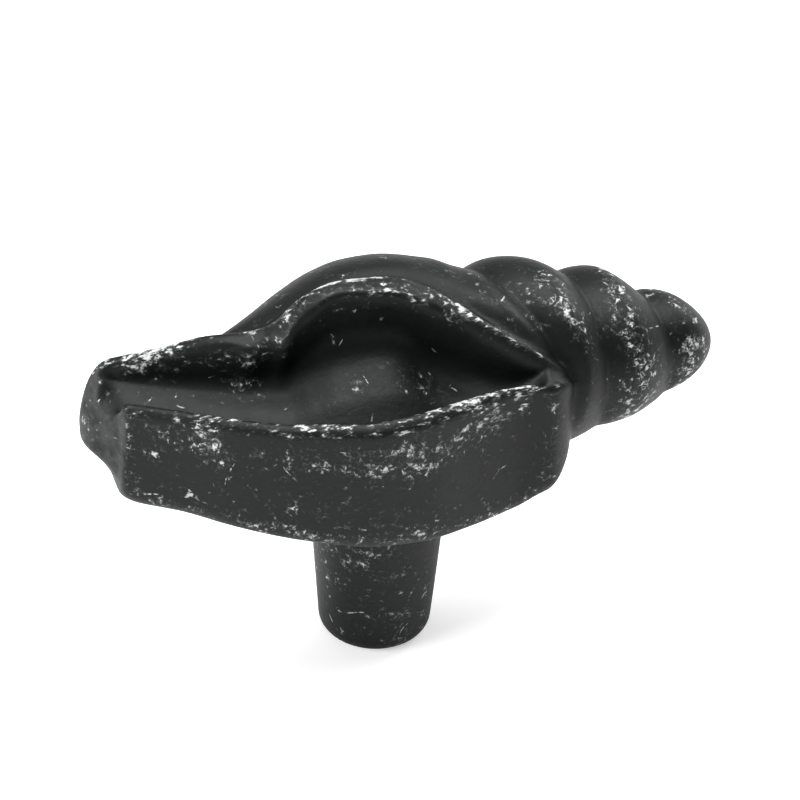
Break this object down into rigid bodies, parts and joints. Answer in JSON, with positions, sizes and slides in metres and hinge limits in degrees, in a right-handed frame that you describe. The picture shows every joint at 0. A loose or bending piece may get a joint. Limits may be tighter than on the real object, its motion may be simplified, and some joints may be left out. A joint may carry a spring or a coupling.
{
  "type": "shell cabinet knob",
  "caption": "One-piece cast cabinet knob: a conch shell lying across a tapered round stem, its mouth open to the front, tapped from below for a machine screw.",
  "frame": {"origin": "centre of the stem's foot, on the plane that meets the drawer front, at the mouth of the screw hole", "axes": "+Z out of the drawer front along the stem; +X along the shell, towards the spire's tip; -Y towards the outer lip of the mouth"},
  "size_m": [0.0556, 0.0211, 0.038],
  "materials": {
    "distressed_black": "antique black over bright cast metal, rubbed through on the crests and edges, satin"
  },
  "bodies": {
    "root": {"shell_knob": "distressed_black"}
  },
  "joints": []
}
